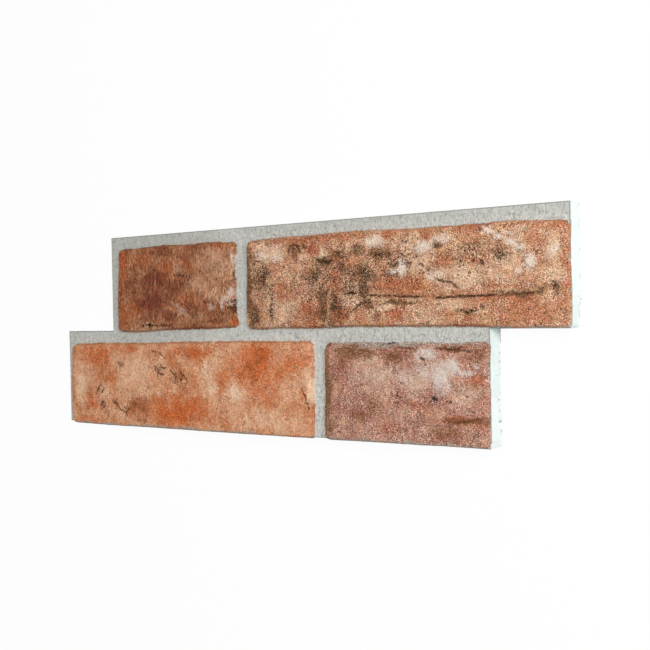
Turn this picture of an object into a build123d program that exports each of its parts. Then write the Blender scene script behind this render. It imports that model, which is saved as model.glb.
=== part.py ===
"""Concrete facing stone: two courses of worn bricks in mortar, cast in one piece.

The stone lies on its back. X runs along the courses, Y up the wall and Z out of the wall.
The origin is the middle of the outer box, on the back face.
"""

import os
from math import cos, radians, sin
from typing import NamedTuple

from build123d import *

# Mortar plate, mm
course_length = 390.0  # mortar of one course, from end to end
course_height = 75.0  # one brick with its bed joint
course_step = 53.5  # how far the upper course stands to the right of the lower one
mortar_depth = 16.0  # from the back to the face of the joints
arris_round = 0.8  # softened outer edges of the mortar face

# Bricks, mm
header_length = 125.7
brick_gap = 6.0  # mortar between the bricks of the two courses
brick_relief = 4.0  # how far the bricks stand out of the mortar
bed_joint = 7.7  # mortar above the bricks of each course
cross_joint = 8.6  # mortar between the two bricks of a course
upper_end_joint = 8.8  # mortar left of the upper header
lower_end_joint = 5.6  # mortar left of the lower stretcher
end_overhang = 0.6  # how far the last brick of a course stands past its mortar
back_lean = 2.0  # how far the bricks' sides draw in again from the mortar's face to the back

# Wear of the bricks, mm
wear_depth = 3.5  # deepest worn hollow along a brick's edges
corner_wear = 4.0  # length of a brick's edge taken up by each rounded corner
flank_lean = 0.8  # how far a flank leans in from the mortar to the face
worn_top_lean = 2.6  # the same on the broken top edge of the lower header
edge_round = 1.6  # rounding between the flanks and the face
edge_round_steps = 3  # flat steps that the rounding is made of

# Cracks in the brick faces, mm
crack_width = 1.6
crack_depth = 1.2
fine_crack_width = 1.0
fine_crack_depth = 0.6

# Worn hollows at even steps along each edge, as shares of the wear depth.
# Bottom and top run from left to right, left and right from the bottom up.
upper_header_shares = {
    "bottom": (0.20, 0.16, 0.58, 0.70, 0.80, 1.00),
    "right": (0.10, 0.60, 0.50, 0.70, 0.20),
    "top": (0.68, 0.63, 0.30, 0.55, 0.40, 0.72),
    "left": (0.10, 0.30, 0.35, 0.70, 0.70),
}
upper_stretcher_shares = {
    "bottom": (0.58, 0.76, 0.76, 1.00, 0.96, 0.94, 0.84, 0.50, 0.48),
    "right": (0.15, 0.05, 0.20, 0.05),
    "top": (0.75, 0.42, 0.48, 0.22, 0.45, 0.58, 0.58, 0.48, 0.95),
    "left": (0.12, 0.20, 0.45, 0.35),
}
lower_stretcher_shares = {
    "bottom": (0.05, 0.00, 0.08, 0.10, 0.12, 0.18, 0.25),
    "right": (0.35, 0.18, 0.25, 0.02, 0.20),
    "top": (0.80, 0.56, 0.54, 0.48, 0.28, 0.22, 0.04, 0.06, 0.00),
    "left": (0.20, 0.00, 0.06, 0.28, 0.50),
}
lower_header_shares = {
    "bottom": (0.20, 0.30, 0.38, 0.40, 0.52, 0.55),
    "right": (0.25, 0.30, 0.10, 0.25, 0.05),
    "top": (0.40, 0.25, 0.35, 0.18, 0.35, 0.08),
    "left": (0.00, 0.05, 0.22, 0.25, 0.30),
}

# Lines of the cracks, as shares of their brick's length and height from its lower left corner
long_crack_shares = (
    (0.434, 0.354),
    (0.515, 0.336),
    (0.596, 0.329),
    (0.636, 0.310),
    (0.697, 0.319),
    (0.850, 0.319),
    (0.931, 0.336),
)
short_crack_shares = ((0.462, 0.286), (0.520, 0.275), (0.583, 0.264))
rust_crack_shares = ((0.597, 0.213), (0.709, 0.220), (0.780, 0.220), (0.844, 0.264), (0.940, 0.293))

# Worked out from the sizes above
brick_height = course_height - brick_gap
upper_header_left = course_step + upper_end_joint
upper_header_right = upper_header_left + header_length
upper_stretcher_left = upper_header_right + cross_joint
upper_stretcher_right = course_step + course_length + end_overhang
lower_header_right = course_length + end_overhang
lower_header_left = lower_header_right - header_length
lower_stretcher_right = lower_header_left - cross_joint
lower_brick_top = course_height - bed_joint
upper_brick_top = lower_brick_top + course_height
face_height = mortar_depth + brick_relief
face_edge_round = min(edge_round, 0.8 * brick_relief)


class Brick(NamedTuple):
    """The box of one brick, before its edges wore."""

    left: float
    right: float
    top: float
    hollow_shares: dict
    top_lean: float = flank_lean

    def point(self, along_share, up_share):
        """A point of the brick's face, from its lower left corner."""
        bottom = self.top - brick_height
        return Vector(self.left + (self.right - self.left) * along_share, bottom + brick_height * up_share)


upper_header = Brick(upper_header_left, upper_header_right, upper_brick_top, upper_header_shares)
upper_stretcher = Brick(upper_stretcher_left, upper_stretcher_right, upper_brick_top, upper_stretcher_shares)
lower_stretcher = Brick(lower_end_joint, lower_stretcher_right, lower_brick_top, lower_stretcher_shares)
lower_header = Brick(
    lower_header_left, lower_header_right, lower_brick_top, lower_header_shares, worn_top_lean
)


def worn_edge(start, end, hollow_shares, inward):
    """A wavy edge from start to end that sets off and arrives along the straight line."""
    run = end - start
    last = len(hollow_shares) - 1
    points = []
    for step, share in enumerate(hollow_shares):
        points.append(start + run * (step / last) + inward * (wear_depth * share))
    way = run.normalized()
    return Spline(*points, tangents=(way, way))


def brick_outline(brick, lean, top_lean):
    """The closed outline of one brick, drawn in from its box by the lean of its flanks.

    Its edges follow each other round the brick, so every outline meets the next edge for edge.
    """
    low = brick.top - brick_height + lean
    high = brick.top - top_lean
    near = brick.left + lean
    far = brick.right - lean
    worn_near = near + corner_wear
    worn_far = far - corner_wear
    worn_low = low + corner_wear
    worn_high = high - corner_wear
    shares = brick.hollow_shares
    bottom = worn_edge(Vector(worn_near, low), Vector(worn_far, low), shares["bottom"], Vector(0, 1))
    right = worn_edge(Vector(far, worn_low), Vector(far, worn_high), shares["right"], Vector(-1, 0))
    top = worn_edge(Vector(worn_far, high), Vector(worn_near, high), shares["top"][::-1], Vector(0, -1))
    left = worn_edge(Vector(near, worn_high), Vector(near, worn_low), shares["left"][::-1], Vector(1, 0))
    chain = [
        bottom,
        Bezier(bottom @ 1, Vector((right @ 0).X, (bottom @ 1).Y), right @ 0),
        right,
        Bezier(right @ 1, Vector((right @ 1).X, (top @ 0).Y), top @ 0),
        top,
        Bezier(top @ 1, Vector((left @ 0).X, (top @ 1).Y), left @ 0),
        left,
        Bezier(left @ 1, Vector((left @ 1).X, (bottom @ 0).Y), bottom @ 0),
    ]
    return Wire(chain)


def worn_brick(brick):
    """One brick, from the back to its face, with leaning flanks and a rounded edge."""
    back = brick_outline(brick, back_lean, back_lean)
    root = brick_outline(brick, 0, 0)
    outlines = [back, Pos(0, 0, mortar_depth) * root]
    for step in range(edge_round_steps + 1):
        turn = radians(90 * step / edge_round_steps)
        drawn_in = face_edge_round * (1 - cos(turn))
        level = face_height - face_edge_round * (1 - sin(turn))
        ring = brick_outline(brick, flank_lean + drawn_in, brick.top_lean + drawn_in)
        outlines.append(Pos(0, 0, level) * ring)
    return Solid.make_loft(outlines, ruled=True)


def mortar_plate():
    """The stepped plate that carries both courses, with softened front edges."""
    upper_right = course_step + course_length
    upper_top = course_height + course_height
    outline = Polyline(
        (0, 0),
        (course_length, 0),
        (course_length, course_height),
        (upper_right, course_height),
        (upper_right, upper_top),
        (course_step, upper_top),
        (course_step, course_height),
        (0, course_height),
        close=True,
    )
    plate = extrude(make_face(outline), amount=mortar_depth)
    return fillet(plate.faces().sort_by(Axis.Z)[-1].edges(), arris_round)


def crack(brick, line_shares, width, depth):
    """A thin groove in a brick's face, pointed at both ends."""
    line = [brick.point(along, up) for along, up in line_shares]
    half = Vector(0, width / 2)
    upper_lip = Spline(line[0], *[point + half for point in line[1:-1]], line[-1])
    lower_lip = Spline(line[0], *[point - half for point in line[1:-1]], line[-1])
    groove = extrude(make_face(Curve() + [upper_lip, lower_lip]), amount=depth)
    return Pos(0, 0, face_height - depth) * groove


def facing_stone():
    stone = mortar_plate()
    for brick in (upper_header, upper_stretcher, lower_stretcher, lower_header):
        stone += worn_brick(brick)
    stone -= crack(upper_stretcher, long_crack_shares, crack_width, crack_depth)
    stone -= crack(upper_stretcher, short_crack_shares, fine_crack_width, fine_crack_depth)
    stone -= crack(lower_header, rust_crack_shares, fine_crack_width, fine_crack_depth)
    box = stone.bounding_box()
    return Pos(-box.center().X, -box.center().Y, -box.min.Z) * stone


os.makedirs("parts", exist_ok=True)
export_step(facing_stone(), "parts/facing_stone.step")
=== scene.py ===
from math import radians
from typing import NamedTuple

import bpy
import numpy as np
from mathutils import Matrix, Vector
from mathutils.geometry import delaunay_2d_cdt


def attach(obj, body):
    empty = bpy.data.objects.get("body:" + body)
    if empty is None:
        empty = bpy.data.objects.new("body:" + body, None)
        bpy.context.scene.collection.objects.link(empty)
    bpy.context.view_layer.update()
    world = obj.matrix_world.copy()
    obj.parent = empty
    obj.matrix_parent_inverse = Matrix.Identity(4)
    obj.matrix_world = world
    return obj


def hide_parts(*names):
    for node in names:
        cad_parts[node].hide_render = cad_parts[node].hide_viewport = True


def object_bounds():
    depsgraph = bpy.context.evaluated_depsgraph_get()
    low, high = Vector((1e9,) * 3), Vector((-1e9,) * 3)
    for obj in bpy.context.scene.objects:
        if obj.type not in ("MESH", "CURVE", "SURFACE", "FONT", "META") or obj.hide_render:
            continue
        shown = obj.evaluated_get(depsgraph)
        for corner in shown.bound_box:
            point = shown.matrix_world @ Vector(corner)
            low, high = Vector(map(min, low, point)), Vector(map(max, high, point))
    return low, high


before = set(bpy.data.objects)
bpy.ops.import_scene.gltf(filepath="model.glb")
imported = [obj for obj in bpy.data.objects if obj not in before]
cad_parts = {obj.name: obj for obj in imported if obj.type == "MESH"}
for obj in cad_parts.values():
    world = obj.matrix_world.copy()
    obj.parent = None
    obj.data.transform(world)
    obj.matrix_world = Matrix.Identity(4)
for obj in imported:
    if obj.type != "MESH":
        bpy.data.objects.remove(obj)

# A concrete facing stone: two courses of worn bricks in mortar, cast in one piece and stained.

cad_low, cad_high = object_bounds()

MM = 0.001

# Mortar plate, mm. u runs along the courses, v up the wall, z out of it, from the lower left back corner.
COURSE_LENGTH = 390.0
COURSE_HEIGHT = 75.0
COURSE_STEP = 53.5
MORTAR_DEPTH = 16.0
ARRIS_ROUND = 0.8
PANEL_HEIGHT = 2 * COURSE_HEIGHT
PANEL_LENGTH = COURSE_STEP + COURSE_LENGTH

# Bricks, mm
HEADER_LENGTH = 125.7
BRICK_HEIGHT = 69.0
BRICK_RELIEF = 4.0
BED_JOINT = 7.7
CROSS_JOINT = 8.6
UPPER_END_JOINT = 8.8
LOWER_END_JOINT = 5.6
END_OVERHANG = 0.6
BACK_LEAN = 2.0
WEAR_DEPTH = 3.5
CORNER_WEAR = 4.0
FLANK_LEAN = 0.8
WORN_TOP_LEAN = 2.6
EDGE_ROUND = 1.6
UPPER_TOP = PANEL_HEIGHT - BED_JOINT
LOWER_TOP = COURSE_HEIGHT - BED_JOINT
UPPER_HEADER_LEFT = COURSE_STEP + UPPER_END_JOINT
UPPER_HEADER_RIGHT = UPPER_HEADER_LEFT + HEADER_LENGTH
LOWER_HEADER_RIGHT = COURSE_LENGTH + END_OVERHANG
LOWER_HEADER_LEFT = LOWER_HEADER_RIGHT - HEADER_LENGTH


class Brick(NamedTuple):
    """One brick's box before it wore, its worn hollows as shares of the wear depth, and its relief, mm."""

    name: str
    left: float
    right: float
    top: float
    hollows: dict
    corner_round: float
    lumps: float
    grain: float
    streaks: float = 0.0
    swell: float = 1.0
    top_lean: float = FLANK_LEAN

    @property
    def bottom(self):
        return self.top - BRICK_HEIGHT


BRICKS = (
    Brick(
        "upper_header",
        left=UPPER_HEADER_LEFT,
        right=UPPER_HEADER_RIGHT,
        top=UPPER_TOP,
        hollows={
            "bottom": (0.20, 0.16, 0.58, 0.70, 0.80, 1.00),
            "right": (0.10, 0.60, 0.50, 0.70, 0.20),
            "top": (0.68, 0.63, 0.30, 0.55, 0.40, 0.72),
            "left": (0.10, 0.30, 0.35, 0.70, 0.70),
        },
        corner_round=4.6,
        lumps=0.35,
        grain=0.16,
        streaks=0.45,
    ),
    Brick(
        "upper_stretcher",
        left=UPPER_HEADER_RIGHT + CROSS_JOINT,
        right=PANEL_LENGTH + END_OVERHANG,
        top=UPPER_TOP,
        hollows={
            "bottom": (0.58, 0.76, 0.76, 1.00, 0.96, 0.94, 0.84, 0.50, 0.48),
            "right": (0.15, 0.05, 0.20, 0.05),
            "top": (0.75, 0.42, 0.48, 0.22, 0.45, 0.58, 0.58, 0.48, 0.95),
            "left": (0.12, 0.20, 0.45, 0.35),
        },
        corner_round=5.0,
        lumps=0.5,
        grain=0.3,
    ),
    Brick(
        "lower_stretcher",
        left=LOWER_END_JOINT,
        right=LOWER_HEADER_LEFT - CROSS_JOINT,
        top=LOWER_TOP,
        hollows={
            "bottom": (0.05, 0.00, 0.08, 0.10, 0.12, 0.18, 0.25),
            "right": (0.35, 0.18, 0.25, 0.02, 0.20),
            "top": (0.80, 0.56, 0.54, 0.48, 0.28, 0.22, 0.04, 0.06, 0.00),
            "left": (0.20, 0.00, 0.06, 0.28, 0.50),
        },
        corner_round=4.4,
        lumps=0.4,
        grain=0.16,
        streaks=0.1,
    ),
    Brick(
        "lower_header",
        left=LOWER_HEADER_LEFT,
        right=LOWER_HEADER_RIGHT,
        top=LOWER_TOP,
        hollows={
            "bottom": (0.20, 0.30, 0.38, 0.40, 0.52, 0.55),
            "right": (0.25, 0.30, 0.10, 0.25, 0.05),
            "top": (0.40, 0.25, 0.35, 0.18, 0.35, 0.08),
            "left": (0.00, 0.05, 0.22, 0.25, 0.30),
        },
        corner_round=3.4,
        lumps=0.45,
        grain=0.34,
        swell=0.9,
        top_lean=WORN_TOP_LEAN,
    ),
)

# Stains on each brick: middle (u, v), half length, half height, all mm, and strength
STAINS = {
    "upper_header": {
        "deep": (
            (105, 116, 14, 7, 1.3), (105, 98, 21, 9, 1.15), (100, 107, 24, 17, 0.75),
            (89, 104, 8, 12, 0.6), (113, 136, 11, 5, 0.75), (112, 86, 22, 5, 0.85), (142, 92, 14, 6, 0.6),
            (124, 105, 10, 8, 0.55), (168, 82, 13, 3, 0.7), (150, 79, 18, 2.5, 0.6),
            (86, 124, 10, 3, 0.4),
        ),
        "rust": (
            (71, 129, 7, 13, 1.15), (71, 86, 9, 10, 0.85), (66, 106, 5, 18, 0.95), (117, 121, 10, 8, 0.7),
            (141, 126, 7, 5, 0.7), (187, 81, 5, 3.2, 1.4), (92, 130, 14, 8, 0.45), (84, 92, 12, 9, 0.5),
            (140, 99, 18, 8, 0.4), (175, 138, 14, 3, 0.5),
        ),
        "pale": (
            (172, 124, 18, 14, 0.85), (152, 109, 14, 8, 0.7), (170, 103, 12, 9, 0.6),
            (134, 122, 10, 8, 0.4), (158, 128, 16, 9, 0.55), (90, 75.5, 32, 1.8, 0.9),
            (134, 90, 9, 4, 0.45), (148, 86, 6, 3, 0.5), (185, 118, 4, 14, 0.7),
        ),
        "lime": (
            (184, 103, 3.5, 3.5, 1.1), (180.5, 98.5, 5, 3, 1.0), (176, 94, 2.4, 4, 0.8),
            (182, 94.5, 4, 1.8, 0.6), (186, 128, 2.5, 8, 0.6), (165, 92.5, 3.5, 3, 0.5),
        ),
        "soot": (
            (183.5, 91.5, 4.5, 5, 0.8), (98, 79.8, 5, 1.6, 1.3), (112, 78.6, 16, 1.0, 0.9),
            (134, 117, 9, 2, 0.8), (148, 118, 10, 5, 0.45), (160, 114, 3, 5, 0.6), (177, 90, 7, 6, 0.7),
            (170, 112, 14, 16, 0.35), (145, 86, 5, 2.5, 0.5),
        ),
    },
    "upper_stretcher": {
        "deep": (
            # The spot at (200.5, 108), along the stretcher's left edge, is dirt and painted shade of its
            # rounded left side
            (204, 84, 6, 10, 1.2), (200.5, 108, 3.5, 30, 1.2), (296, 106, 17, 12, 0.6),
            (277, 88, 11, 10, 0.6), (257, 84, 9, 7, 0.35), (212, 112, 13, 10, 0.6), (243, 130, 6, 6, 0.7),
            (252, 133, 2.5, 2.5, 0.8), (268, 122, 8, 4, 0.9), (260, 114, 6, 9, 0.8),
            (280, 125, 5, 4, 0.9), (297, 129, 6, 4, 0.9), (283, 116, 5, 5, 0.7), (300, 112, 9, 8, 1.2),
            (309, 110, 5, 4, 0.9), (301, 101, 5, 6, 1.1), (303, 92, 4, 3, 1.0), (266, 92, 4, 14, 0.9),
            (276, 93, 5, 7, 1.1), (274, 80, 6, 4, 0.8), (313, 124.5, 8, 4.5, 1.0),
            (357, 127, 6, 2.5, 0.9), (382, 127, 11, 5, 0.4), (399, 122, 7, 7, 0.55),
            (376, 86.5, 8, 2.2, 0.7), (326, 91.6, 18, 1.6, 0.8), (412, 96.5, 18, 2.2, 0.9),
            (311, 83, 4, 4, 0.6), (427, 99.5, 4, 3, 0.8), (435, 99, 4, 4, 0.8), (325, 114, 12, 12, 0.35),
        ),
        "rust": (
            (256, 87, 10, 9, 1.2), (258, 129, 6, 5, 0.8), (274, 106, 9, 8, 0.8), (282, 84, 9, 8, 0.7),
            (290, 122, 10, 8, 0.5), (265, 138, 55, 3.0, 0.7), (322, 136, 7, 3, 0.7),
            (330, 104, 24, 8, 0.75), (316, 118, 8, 8, 0.4), (323, 85, 7, 2.5, 0.8),
            (418, 85, 28, 9, 0.65), (405, 93, 26, 2.2, 0.7), (402, 100.5, 14, 2, 0.6),
            (440, 137, 8, 4, 0.9), (442, 110, 3, 26, 0.5), (422, 129, 8, 8, 0.55), (388, 133, 12, 5, 0.5),
            (238, 101, 14, 8, 0.4), (385, 138.5, 60, 2.0, 0.6),
        ),
        "pale": (
            (220, 131, 14, 8, 0.9), (234, 88, 11, 9, 0.6), (252, 126, 6, 3, 0.7), (267, 128, 4, 4, 0.9),
            (292, 103.5, 6, 4, 1.0), (291, 94, 7, 4, 0.9), (315, 89, 12, 3, 0.7), (336, 130, 12, 6, 0.7),
            (343, 118, 12, 10, 0.75), (372, 108, 20, 8, 0.85), (366, 90, 14, 4, 0.7),
            (395, 110, 14, 8, 0.5), (408, 118, 12, 8, 0.6), (434, 123, 6, 9, 0.9), (436, 107, 7, 6, 0.7),
            (345, 82, 18, 5, 0.4), (405, 98, 14, 2, 0.5), (412, 134, 10, 5, 0.5), (420, 84, 24, 7, 0.4),
        ),
        "lime": (
            (213, 128, 5, 4, 0.6), (227, 125, 5, 4, 0.5), (310, 132.5, 8, 4, 0.9),
            (328.8, 116, 2.4, 6, 1.6), (325, 113, 5, 2.5, 0.9), (331, 111, 3, 3, 0.8),
            (347, 128, 6, 4, 0.9), (360, 132, 7, 3.5, 0.95), (392, 136, 5, 2.8, 0.75),
            (400, 131.5, 5, 2.8, 0.85), (407, 128, 5, 2.8, 0.7), (413, 124, 4, 3, 0.6),
            (419.5, 114.5, 4, 5, 1.1), (412, 110, 3, 2, 0.6), (355, 110, 8, 4, 0.4),
            (435, 122, 4, 5, 0.5),
        ),
        "soot": (
            (212, 116, 15, 19, 0.6), (205, 84, 6, 9, 0.55), (221.5, 91, 2.2, 10, 0.8),
            (243, 131, 6, 5, 0.5), (268, 121.5, 8, 3.5, 0.75), (252, 113, 11, 9, 0.55),
            (262, 114, 6, 8, 0.5), (280, 125, 5, 4, 0.6), (302, 112, 8, 6, 0.6), (276, 92, 5, 7, 0.65),
            (290, 99.5, 5, 1.6, 1.1), (313, 124, 7, 4, 0.55), (326, 120, 10, 8, 0.6),
            (320, 108, 8, 6, 0.55), (357, 127, 6, 2.5, 0.8), (399, 121, 7, 7, 0.6),
            (382, 124, 12, 7, 0.4), (377, 86.5, 8, 2, 0.9), (427, 99.5, 4, 3, 0.6),
            (434.5, 99.5, 3.5, 3, 0.6), (275, 108, 55, 30, 0.45), (370, 112, 60, 16, 0.2),
            (335, 128, 24, 8, 0.3),
        ),
        "bare": (
            (418, 74.4, 40, 2.0, 1.2), (445, 106, 1.3, 44, 0.9), (300, 75.4, 110, 1.5, 0.9),
        ),
    },
    "lower_stretcher": {
        "deep": (
            (86, 16, 13, 9, 0.85), (88, 5, 8, 3, 0.7), (212, 57, 8, 7, 0.5), (41, 28, 6, 6, 0.35),
            (126, 39, 9, 6, 0.35), (109, 45, 6, 6, 0.35), (200, 44, 12, 8, 0.45), (141, 58, 20, 5, 0.35),
        ),
        "rust": (
            (38, 56, 22, 9, 0.75), (32, 18, 8, 8, 0.8), (56, 38, 6, 6, 0.65), (128, 13, 32, 13, 1.05),
            (128, 11, 14, 8, 1.2), (141, 58, 24, 5, 0.6), (205, 49, 24, 18, 0.9), (213, 57, 8, 8, 1.2),
            (242, 54, 16, 12, 0.5), (174, 38, 8, 8, 0.45), (66, 60, 22, 5, 0.45), (215, 30, 22, 10, 0.4),
            (30, 3, 24, 4, 0.5), (7, 30, 2.5, 30, 0.45),
        ),
        "pale": (
            (19, 31, 8, 16, 0.95), (82, 42, 26, 16, 0.75), (44, 24, 12, 8, 0.5), (216, 11, 46, 11, 0.5),
            (160, 40, 12, 16, 0.55), (187, 29, 12, 8, 0.5), (236, 31, 12, 9, 0.45), (253, 36, 4, 14, 0.9),
            (60, 10, 10, 6, 0.5), (108, 50, 10, 8, 0.5),
        ),
        "lime": (
            (158, 45, 5, 8, 0.5), (164, 31, 7, 5, 0.55), (187, 29, 9, 5, 0.6), (255, 32, 2.5, 9, 0.7),
            (19, 34, 5, 12, 0.35),
        ),
        "soot": (
            (41, 28, 6, 6, 0.55), (109, 44, 7, 6, 0.7), (110, 57, 9, 4, 0.5), (129, 39, 11, 8, 0.7),
            (70, 12, 5, 6, 0.6), (59, 17, 4, 2.5, 0.7), (45, 15.5, 4, 3, 0.6), (65, 48, 8, 5, 0.4),
        ),
        "bare": (
            (130, -1.2, 150, 2.4, 1.2),
        ),
    },
    "lower_header": {
        "deep": (
            # The deep spot at (267.5, 32) along the left edge is dirt and painted shade of the rounded
            # left side; the deep spots at (290, 60), (324, 58), (366, 62) and (384, 59), under the worn
            # top flank, are painted shade
            (267.5, 32, 5, 36, 1.3), (290, 60, 16, 5, 1.2), (282, 54, 9, 7, 0.6), (304, 24, 6, 8, 0.6),
            (295, 17, 8, 5, 0.6), (324, 58, 8, 5, 0.6), (362, 8, 16, 6, 0.6), (384, 59, 8, 5, 0.5),
            (366, 62, 14, 2.0, 1.0), (374, 17.5, 17, 2.4, 1.1), (330, 26, 12, 6, 0.3),
        ),
        "rust": (
            (383, 42, 9, 5, 0.9), (366, 61.5, 12, 2, 0.7), (280, 32, 3, 20, 0.35), (342, 25, 12, 6, 0.5),
            (320, 10, 14, 6, 0.45), (380, 14, 10, 6, 0.4), (372, 17, 20, 3.0, 1.1), (386, 28, 6, 8, 0.35),
        ),
        "pale": (
            (308, 44, 20, 10, 0.9), (340, 41, 11, 10, 0.9), (304, 54, 12, 4, 0.8),
            (352, 50, 20, 12, 0.45), (330, 18, 20, 8, 0.3), (376, 32, 13, 12, 0.6),
        ),
        "lime": (
            (357, 44, 7, 10, 1.0), (366, 50, 6, 5, 1.15), (347, 59, 8, 3.5, 0.9), (345, 48, 7, 5, 0.7),
            (376, 47, 6, 3, 0.85), (330, 45, 10, 6, 0.35),
        ),
        "soot": (
            # The soot at (265, 31) on the left edge is dirt and painted shade; the soot at (292, 62) and
            # (366, 62.5), under the worn top flank, is painted shade
            (353, 30.5, 4, 3, 0.9), (316, 66.5, 7, 1.2, 1.0), (265, 31, 2, 8, 1.1),
            (292, 62, 14, 2.5, 0.5), (366, 62.5, 12, 1.5, 0.6),
        ),
        "bare": (
            (330, -0.6, 80, 2.6, 1.2), (391, 30, 1.2, 40, 0.9), (328, 66.5, 64, 3.2, 1.2),
        ),
    },
}

# Darker patches on the mortar, towards its upper left, its left end and along its top edge, in the same
# way
DARKENING_PATCHES = (
    (100, 118, 90, 50, 0.65), (0, 35, 14, 50, 0.35), (330, 152, 260, 9, 0.3),
)

# Dark lines on each brick, mm: half width, strength and the points that the line runs through
LINES = {
    "upper_header": (
        # The first line, down the header's left edge, is painted shadow of its rounded left side
        (0.9, 0.35, ((63.6, 78), (64.4, 96), (64.5, 108), (65.7, 123), (65.7, 138))),
        (0.35, 0.8, ((130, 117.6), (136, 116.9), (142, 116.2))), (0.3, 0.6, ((137, 110.2), (144, 109.8))),
        (0.3, 0.75, ((185.7, 124), (185.4, 119), (185.3, 114.5), (184.6, 111))),
        (0.4, 0.7, ((91, 79.6), (106, 79.0), (122, 78.2))),
        (0.35, 0.5, ((153, 81), (165, 82.4), (172, 85))),
        (0.4, 0.85, ((185.9, 97), (185.6, 93), (185.9, 87.5))), (0.4, 0.7, ((179.5, 95.5), (181.5, 94))),
        (0.4, 0.7, ((182.5, 92.5), (184, 91))), (0.35, 0.7, ((180.5, 88.5), (182, 87))),
    ),
    "upper_stretcher": (
        (0.45, 0.8, ((304, 97.7), (322, 96.9), (344, 96))),
        (0.6, 0.85, ((355, 94.7), (369, 95.3), (386, 95.3), (396, 95.5))),
        (0.9, 0.3, ((396, 95.5), (407, 95.6), (427, 97))),
        (0.25, 0.55, ((316, 93.0), (330, 91.9), (342, 91.0))),
        (0.7, 0.8, ((290, 87), (296, 91.5), (302, 93.2))),
        (0.75, 0.8, ((356, 106.3), (362, 105.4), (367, 104.4), (370.5, 100.8))),
        (0.45, 0.9, ((321.5, 121.2), (324.5, 120.2))), (0.4, 0.85, ((322.5, 116.9), (326, 116.2))),
        (0.4, 0.85, ((324, 113.2), (326.8, 112.7))), (0.45, 0.9, ((328.5, 124.6), (331.5, 123.4))),
        (0.4, 0.85, ((329.8, 119), (332.4, 117.8))), (0.4, 0.8, ((320, 125.5), (323, 124.2))),
        (0.4, 0.8, ((318.6, 122.6), (321, 121.6))), (0.35, 0.75, ((318, 118), (320.8, 117.4))),
        (0.35, 0.75, ((319.5, 113.8), (322, 113.5))), (0.35, 0.8, ((326.4, 126), (327.6, 122.8))),
        (0.35, 0.75, ((333, 122.8), (335.2, 121.4))), (0.35, 0.7, ((334, 118), (336.6, 117.8))),
        (0.8, 0.75, ((237.5, 129), (239, 133.5), (243.5, 134.8), (247.5, 133), (247, 129))),
        (0.7, 0.7, ((251, 134), (252.5, 131.5))),
        (0.9, 0.8, ((262, 123.5), (266, 121.5), (272, 121.2), (275, 122.6))),
        (0.8, 0.75, ((279, 127), (281, 124.5), (284, 123.5))),
        (0.7, 0.8, ((284, 99.2), (288, 99.8), (294, 99.4))), (0.8, 0.9, ((373, 117.4), (374, 117))),
        (0.8, 0.9, ((381.2, 117.4), (382, 117))), (1.0, 0.85, ((387.4, 117), (388.6, 115))),
        (0.9, 0.7, ((386, 89.4), (388, 88.6))), (0.5, 0.6, ((221.5, 81), (221, 91), (222, 100))),
    ),
    "lower_stretcher": (
        (0.55, 0.85, ((55, 18.5), (61, 16), (66, 11.5), (73, 7.5))),
        (0.5, 0.85, ((72, 17), (74.5, 13), (71, 9.5))),
        (0.52, 0.9, ((37, 23), (39, 28.5), (43, 31.5), (46, 28.5), (43, 25))),
        (0.5, 0.9, ((42, 15.5), (44, 18), (47.5, 17), (47, 14), (44, 13), (42, 15.5))),
        (0.55, 0.9, ((104, 47), (107, 45.5), (109, 42), (113, 41))),
        (0.5, 0.75, ((102, 59), (108, 58.5), (115, 54))),
        (0.52, 0.85, ((110, 48.5), (113, 46), (116, 46.5))),
        (0.55, 0.9, ((120, 44.5), (124, 41.5), (127, 42.5), (126, 38))),
        (0.5, 0.85, ((131, 44), (134, 40.5), (138, 38), (137, 34))),
        (0.5, 0.7, ((119, 38), (122, 35.5), (126, 34.5))),
        (0.45, 0.6, ((62, 48.5), (66, 47.5), (70, 48.5))),
        (0.5, 0.7, ((176, 26.5), (179, 25), (182, 24.6))), (0.3, 0.45, ((94.3, 47), (94, 30), (93.5, 4))),
        (0.55, 0.9, ((246, 35), (250, 29), (251, 23), (253.5, 20))),
    ),
    "lower_header": (
        (0.3, 0.4, ((340, 13), (354, 13.5), (363, 13.8))),
        (0.6, 0.45, ((363, 13.8), (371, 16.5), (383, 18.7), (391, 19.7))),
        # The next three lines, along the worn top flank, are painted shade
        (0.6, 0.9, ((311, 67), (316, 66.6), (322, 66.2))),
        (0.5, 0.65, ((326, 63.5), (332, 63), (338, 62.4))),
        (0.5, 0.7, ((353, 62.8), (366, 61.8), (378, 61.2))),
        (0.4, 0.35, ((278.5, 53), (278.3, 30), (278.6, 14))),
        (0.4, 0.3, ((282, 50), (281.8, 34), (282, 18))), (1.0, 0.9, ((343.8, 56.3), (345.2, 55.6))),
        (0.6, 0.8, ((346, 52.2), (346.6, 51.8))), (0.9, 0.85, ((352, 31), (354.5, 30))),
        (0.9, 0.9, ((362.6, 29), (364.6, 28.6))), (0.8, 0.9, ((324.8, 31.7), (327.2, 31.3))),
        (0.7, 0.8, ((328, 40.4), (330, 39.6))), (0.6, 0.7, ((340.6, 47.2), (341.6, 46.8))),
        # The last line, at the left edge, is dirt and painted shade of the rounded left side
        (0.6, 0.7, ((374.4, 33.2), (375.6, 32.8))), (0.8, 0.8, ((265, 36), (265, 26))),
    ),
}

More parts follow.
